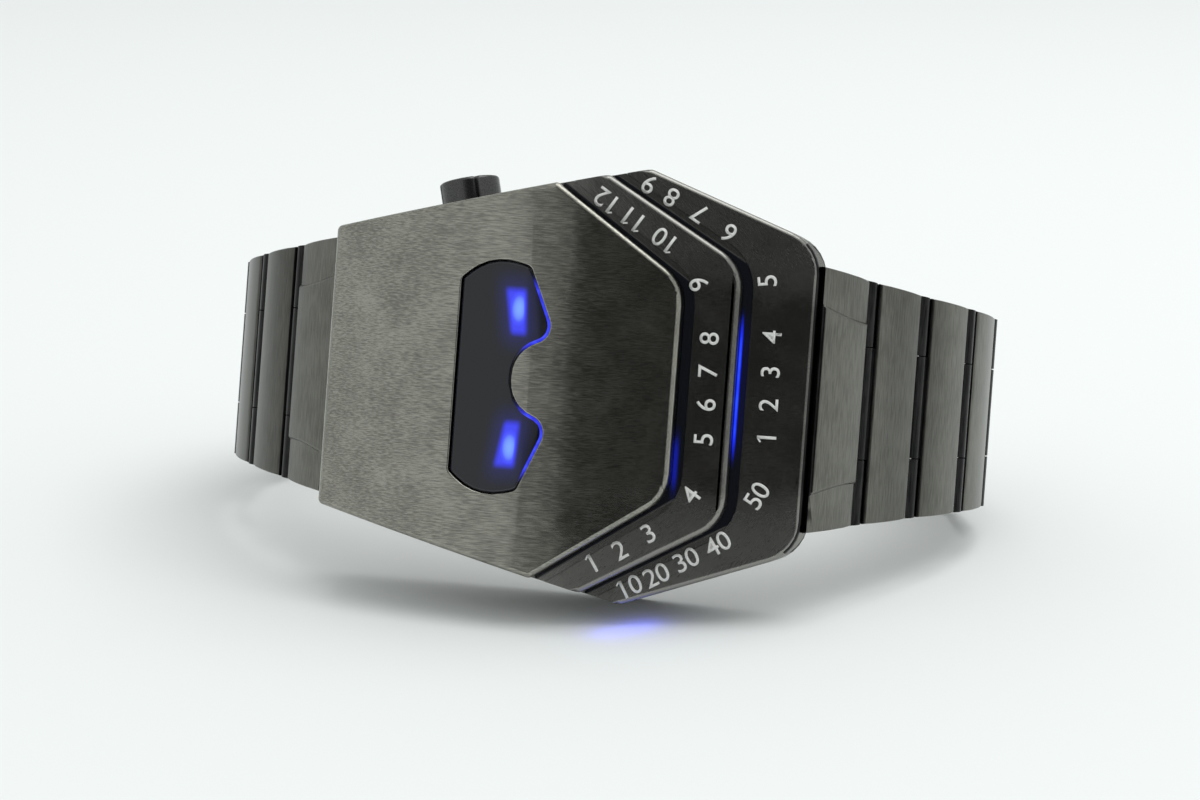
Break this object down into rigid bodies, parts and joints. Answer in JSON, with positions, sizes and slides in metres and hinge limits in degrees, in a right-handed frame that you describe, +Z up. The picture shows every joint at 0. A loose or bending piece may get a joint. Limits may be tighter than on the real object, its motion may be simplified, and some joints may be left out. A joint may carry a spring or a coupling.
{
  "type": "digital wrist watch",
  "caption": "Digital wrist watch in dark brushed steel: stepped angular case with a lit window and light guides, one push button, wide link bracelet and fold-over clasp.",
  "frame": {"origin": "centre of the bounding box, on the ground that the watch's side edge stands on", "axes": "+X along the bracelet towards the numbered end of the case, +Z up and roughly across the bracelet towards the push button's side, -Y the way the dial faces"},
  "size_m": [0.0812, 0.0601, 0.0429],
  "materials": {
    "case_steel": "brushed dark steel, worn bright at the edges",
    "band_steel": "satin dark steel, brushed across",
    "button_steel": "satin dark steel",
    "clasp_steel": "satin steel",
    "pin_steel": "polished steel",
    "lens": "dark tinted, glossy",
    "light_guide": "clear blue-tinted plastic, glossy",
    "lamp": "blue, glossy",
    "back_steel": "brushed",
    "seal_rubber": "matt",
    "frame_plastic": "matt",
    "board": "green board",
    "chip_plastic": "matt",
    "cell_steel": "bright",
    "contact_brass": "satin"
  },
  "bodies": {
    "case": {"case_body": "case_steel", "hour_plate": "case_steel", "head_plate": "case_steel", "eye_lens": "lens", "eye_light_bars": "light_guide", "hour_light_guide": "light_guide", "minute_light_guide": "light_guide", "case_back": "back_steel", "back_gasket": "seal_rubber", "back_screws": "pin_steel", "module_frame": "frame_plastic", "circuit_board": "board", "eye_lamps": "lamp", "number_lamps": "lamp", "control_chip": "chip_plastic", "quartz_crystal": "cell_steel", "button_cells": "cell_steel", "cell_clip": "contact_brass", "side_switch": "cell_steel", "case_spring_bars": "pin_steel", "button_gasket": "seal_rubber"},
    "push_button": {"push_button": "button_steel", "button_spring": "pin_steel", "button_clip": "pin_steel"},
    "end_link_right": {"end_link_right": "band_steel", "pin_right_0": "pin_steel"},
    "link_right_1": {"link_right_1": "band_steel", "pin_right_1": "pin_steel"},
    "link_right_2": {"link_right_2": "band_steel", "pin_right_2": "pin_steel"},
    "link_right_3": {"link_right_3": "band_steel", "pin_right_3": "pin_steel"},
    "link_right_4": {"link_right_4": "band_steel", "pin_right_4": "pin_steel"},
    "link_right_5": {"link_right_5": "band_steel", "pin_right_5": "pin_steel"},
    "link_right_6": {"link_right_6": "band_steel", "pin_right_6": "pin_steel"},
    "end_link_left": {"end_link_left": "band_steel", "pin_left_0": "pin_steel"},
    "link_left_1": {"link_left_1": "band_steel", "pin_left_1": "pin_steel"},
    "link_left_2": {"link_left_2": "band_steel", "pin_left_2": "pin_steel"},
    "link_left_3": {"link_left_3": "band_steel", "pin_left_3": "pin_steel"},
    "link_left_4": {"link_left_4": "band_steel", "pin_left_4": "pin_steel"},
    "link_left_5": {"link_left_5": "band_steel", "pin_left_5": "pin_steel"},
    "link_left_6": {"link_left_6": "band_steel", "pin_left_6": "pin_steel"},
    "clasp_cover": {"clasp_cover": "band_steel", "cover_hinge_pin": "pin_steel", "release_spring": "pin_steel"},
    "outer_blade": {"outer_blade": "clasp_steel", "blade_hinge_pin": "pin_steel"},
    "inner_blade": {"inner_blade": "clasp_steel"},
    "release_button_upper": {"release_button_upper": "clasp_steel"},
    "release_button_lower": {"release_button_lower": "clasp_steel"}
  },
  "joints": [
    {"name": "end_link_right_hinge", "type": "hinge", "parent": "case", "child": "end_link_right", "pos_m": [0.02483, -0.01615, 0.02098], "axis": [0, -0.2669, -0.9637], "range_deg": [0, 10]},
    {"name": "link_right_1_hinge", "type": "hinge", "parent": "end_link_right", "child": "link_right_1", "pos_m": [0.02948, -0.01053, 0.01943], "axis": [0, -0.2669, -0.9637], "range_deg": [0, 8]},
    {"name": "link_right_2_hinge", "type": "hinge", "parent": "link_right_1", "child": "link_right_2", "pos_m": [0.03393, -0.00367, 0.01753], "axis": [0, -0.2669, -0.9637], "range_deg": [0, 12]},
    {"name": "link_right_3_hinge", "type": "hinge", "parent": "link_right_2", "child": "link_right_3", "pos_m": [0.03788, 0.00348, 0.01555], "axis": [0, -0.2669, -0.9637], "range_deg": [0, 25]},
    {"name": "link_right_4_hinge", "type": "hinge", "parent": "link_right_3", "child": "link_right_4", "pos_m": [0.03948, 0.01143, 0.01335], "axis": [0, -0.2669, -0.9637], "range_deg": [0, 37]},
    {"name": "link_right_5_hinge", "type": "hinge", "parent": "link_right_4", "child": "link_right_5", "pos_m": [0.03688, 0.01913, 0.01122], "axis": [0, -0.2669, -0.9637], "range_deg": [0, 40]},
    {"name": "link_right_6_hinge", "type": "hinge", "parent": "link_right_5", "child": "link_right_6", "pos_m": [0.03045, 0.02433, 0.00977], "axis": [0, -0.2669, -0.9637], "range_deg": [0, 39.1]},
    {"name": "end_link_left_hinge", "type": "hinge", "parent": "case", "child": "end_link_left", "pos_m": [-0.02037, -0.01615, 0.02098], "axis": [0, 0.2669, 0.9637], "range_deg": [0, 16]},
    {"name": "link_left_1_hinge", "type": "hinge", "parent": "end_link_left", "child": "link_left_1", "pos_m": [-0.0281, -0.01142, 0.01968], "axis": [0, 0.2669, 0.9637], "range_deg": [0, 13]},
    {"name": "link_left_2_hinge", "type": "hinge", "parent": "link_left_1", "child": "link_left_2", "pos_m": [-0.03404, -0.0057, 0.01809], "axis": [0, 0.2669, 0.9637], "range_deg": [0, 21]},
    {"name": "link_left_3_hinge", "type": "hinge", "parent": "link_left_2", "child": "link_left_3", "pos_m": [-0.0385, 0.00116, 0.01619], "axis": [0, 0.2669, 0.9637], "range_deg": [0, 34]},
    {"name": "link_left_4_hinge", "type": "hinge", "parent": "link_left_3", "child": "link_left_4", "pos_m": [-0.03937, 0.00922, 0.01396], "axis": [0, 0.2669, 0.9637], "range_deg": [0, 36]},
    {"name": "link_left_5_hinge", "type": "hinge", "parent": "link_left_4", "child": "link_left_5", "pos_m": [-0.03623, 0.01672, 0.01188], "axis": [0, 0.2669, 0.9637], "range_deg": [0, 36]},
    {"name": "link_left_6_hinge", "type": "hinge", "parent": "link_left_5", "child": "link_left_6", "pos_m": [-0.02979, 0.02192, 0.01044], "axis": [0, 0.2669, 0.9637], "range_deg": [0, 21.1]},
    {"name": "clasp_cover_hinge", "type": "hinge", "parent": "link_right_6", "child": "clasp_cover", "pos_m": [0.02215, 0.02558, 0.00943], "axis": [0, -0.2669, -0.9637], "range_deg": [0, 16.9]},
    {"name": "outer_blade_hinge", "type": "hinge", "parent": "clasp_cover", "child": "outer_blade", "pos_m": [-0.0191, 0.02602, 0.00931], "axis": [0, -0.2669, -0.9637], "range_deg": [0, 85]},
    {"name": "inner_blade_hinge", "type": "hinge", "parent": "outer_blade", "child": "inner_blade", "pos_m": [0.01795, 0.02554, 0.00944], "axis": [0, 0.2669, 0.9637], "range_deg": [0, 90]},
    {"name": "push_button_slide", "type": "slide", "parent": "case", "child": "push_button", "axis": [0.2313, -0.2596, -0.9376], "range_m": [0, 0.00065], "stiffness_N_per_m": 1200, "springref_m": -0.0006, "deforming": ["button_spring"]},
    {"name": "release_button_upper_slide", "type": "slide", "parent": "clasp_cover", "child": "release_button_upper", "axis": [0, -0.2669, -0.9637], "range_m": [0, 0.0005], "stiffness_N_per_m": 900, "springref_m": -0.0005},
    {"name": "release_button_lower_slide", "type": "slide", "parent": "clasp_cover", "child": "release_button_lower", "axis": [0, 0.2669, 0.9637], "range_m": [0, 0.0005], "stiffness_N_per_m": 900, "springref_m": -0.0005}
  ]
}
